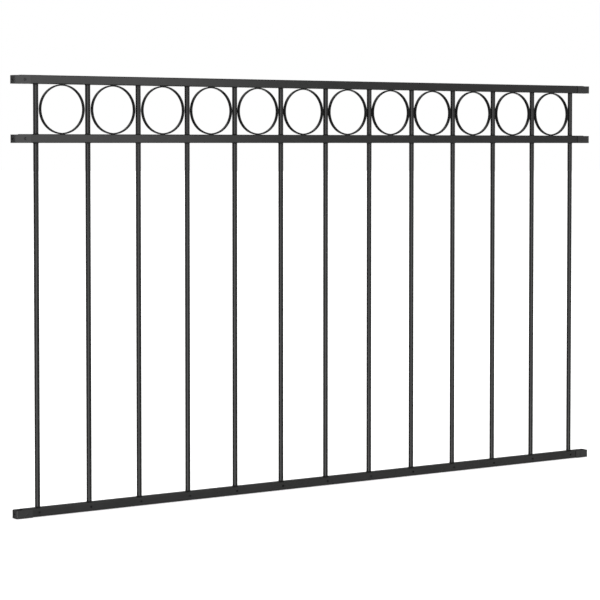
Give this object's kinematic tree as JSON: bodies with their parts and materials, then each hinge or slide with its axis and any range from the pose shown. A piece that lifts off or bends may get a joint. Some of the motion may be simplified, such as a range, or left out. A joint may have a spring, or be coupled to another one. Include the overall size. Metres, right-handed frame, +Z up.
{
  "type": "steel fence panel",
  "caption": "Black powder-coated fence panel with upright round bars between horizontal rails, a band of rings under the top rail and U-shaped end brackets that fasten to posts.",
  "frame": {"origin": "on the outer face of the lower left end bracket, at the middle of its bottom edge", "axes": "+X along the panel from the left end to the right end, +Y through it to the back, +Z up"},
  "size_m": [1.7, 0.0242, 1],
  "materials": {
    "rail_coat": "satin powder coat",
    "bar_coat": "satin powder coat",
    "ring_coat": "satin powder coat",
    "bracket_coat": "satin powder coat"
  },
  "bodies": {
    "root": {"bottom_rail": "rail_coat", "middle_rail": "rail_coat", "top_rail": "rail_coat", "bar_01": "bar_coat", "bar_02": "bar_coat", "bar_03": "bar_coat", "bar_04": "bar_coat", "bar_05": "bar_coat", "bar_06": "bar_coat", "bar_07": "bar_coat", "bar_08": "bar_coat", "bar_09": "bar_coat", "bar_10": "bar_coat", "bar_11": "bar_coat", "bar_12": "bar_coat", "bar_13": "bar_coat", "ring_01": "ring_coat", "ring_02": "ring_coat", "ring_03": "ring_coat", "ring_04": "ring_coat", "ring_05": "ring_coat", "ring_06": "ring_coat", "ring_07": "ring_coat", "ring_08": "ring_coat", "ring_09": "ring_coat", "ring_10": "ring_coat", "ring_11": "ring_coat", "ring_12": "ring_coat", "bottom_left_bracket": "bracket_coat", "bottom_right_bracket": "bracket_coat", "middle_left_bracket": "bracket_coat", "middle_right_bracket": "bracket_coat", "top_left_bracket": "bracket_coat", "top_right_bracket": "bracket_coat"}
  },
  "joints": []
}
